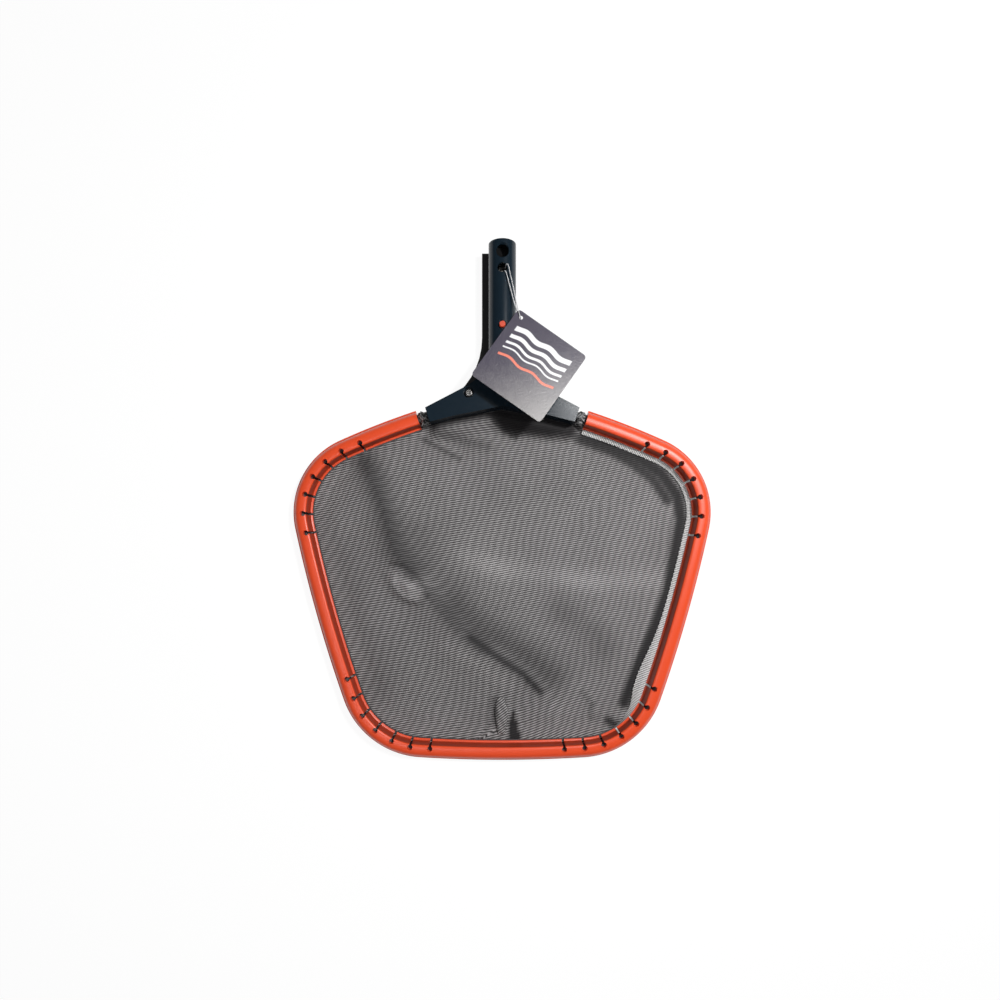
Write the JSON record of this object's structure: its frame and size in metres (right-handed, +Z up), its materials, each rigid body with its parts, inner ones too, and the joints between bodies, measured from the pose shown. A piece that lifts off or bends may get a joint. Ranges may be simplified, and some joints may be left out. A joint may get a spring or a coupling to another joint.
{
  "type": "leaf skimmer net",
  "caption": "Flat pool leaf skimmer: mesh net on a bent hoop with a slotted edge guard, and a yoke whose tubular neck snaps into a telescopic pole.",
  "frame": {"origin": "below the middle of the overall box, on the plane that the guard and the rear shell rest on", "axes": "+Y runs from the net's lower edge towards the pole, +Z points up out of the net's mouth"},
  "size_m": [0.4478, 0.5428, 0.0447],
  "materials": {
    "hoop": "drawn tube",
    "guard": "smooth moulded, soft gloss",
    "net": "fine woven mesh",
    "hem": "sewn seam",
    "yoke": "satin moulded",
    "rear": "smooth moulded",
    "steel": "bright plated",
    "button": "smooth moulded",
    "card": "coated card",
    "string": "thin translucent string"
  },
  "bodies": {
    "skimmer": {"hoop_tube": "hoop", "hoop_pin_left": "steel", "hoop_pin_right": "steel", "edge_guard": "guard", "net_sleeve": "net", "net_bag": "net", "net_hem": "hem", "yoke_front": "yoke", "yoke_rear": "rear", "arm_screw_left": "steel", "arm_screw_right": "steel", "arm_nut_left": "steel", "arm_nut_right": "steel", "rear_screws": "steel", "neck_plug": "rear", "neck_screw": "steel", "button_spring": "steel"},
    "button": {"snap_button": "button"},
    "tag": {"hang_tag": "card", "tag_loop": "string"}
  },
  "joints": [
    {"name": "button_press", "type": "slide", "parent": "skimmer", "child": "button", "axis": [0, 0, -1], "range_m": [0, 0.0042], "stiffness_N_per_m": 800, "deforming": ["button_spring"]},
    {"name": "tag_swing", "type": "hinge", "parent": "skimmer", "child": "tag", "pos_m": [0, 0.24186, 0.0363], "axis": [0, 0, 1], "range_deg": [0, 30]}
  ]
}
